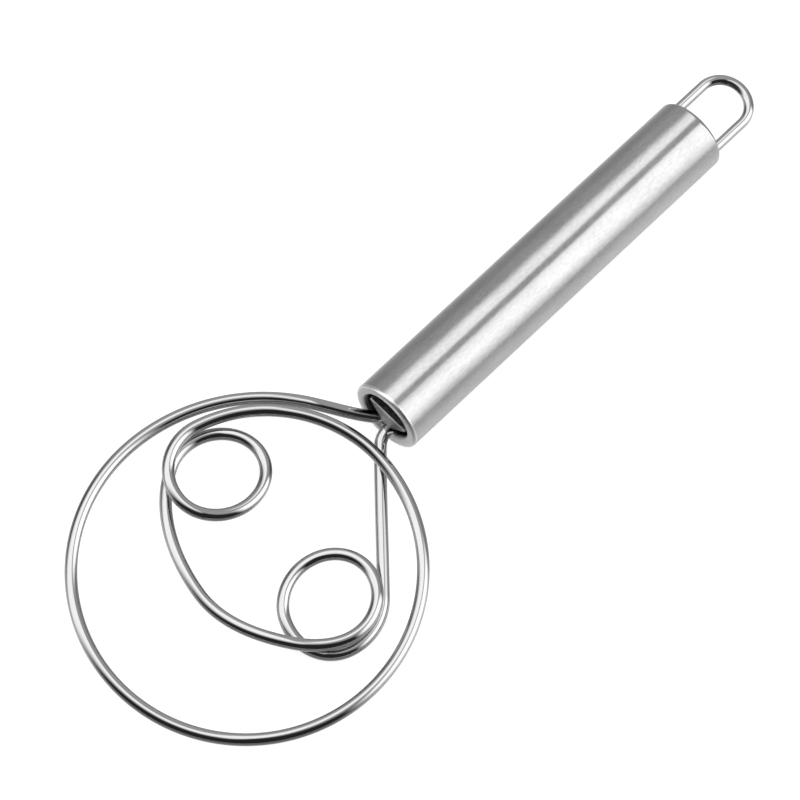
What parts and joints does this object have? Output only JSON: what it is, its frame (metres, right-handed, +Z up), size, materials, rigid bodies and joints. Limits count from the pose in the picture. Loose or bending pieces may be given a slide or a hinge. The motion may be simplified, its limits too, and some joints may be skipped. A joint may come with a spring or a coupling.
{
  "type": "dough whisk",
  "caption": "Wire dough whisk: hollow steel handle with a hanging loop, and a flat ring head with eyes inside it, bent from one wire.",
  "frame": {"origin": "on the surface that the whisk lies on, under the middle of its bounding box", "axes": "+X along the handle from the wire head to the hanging loop, +Z up from the surface, +Y to the side of the ring that stands clear of it"},
  "size_m": [0.2338, 0.0882, 0.02],
  "materials": {
    "satin_steel": "satin brushed lengthwise",
    "wedge_steel": "dull, cut faces",
    "polished_steel": "polished wire",
    "plug_plastic": "matte black"
  },
  "bodies": {
    "root": {"handle_tube": "satin_steel", "front_plug": "plug_plastic", "wedge": "wedge_steel", "whisk_wire": "polished_steel", "rear_plug": "plug_plastic", "hang_loop": "polished_steel"}
  },
  "joints": []
}
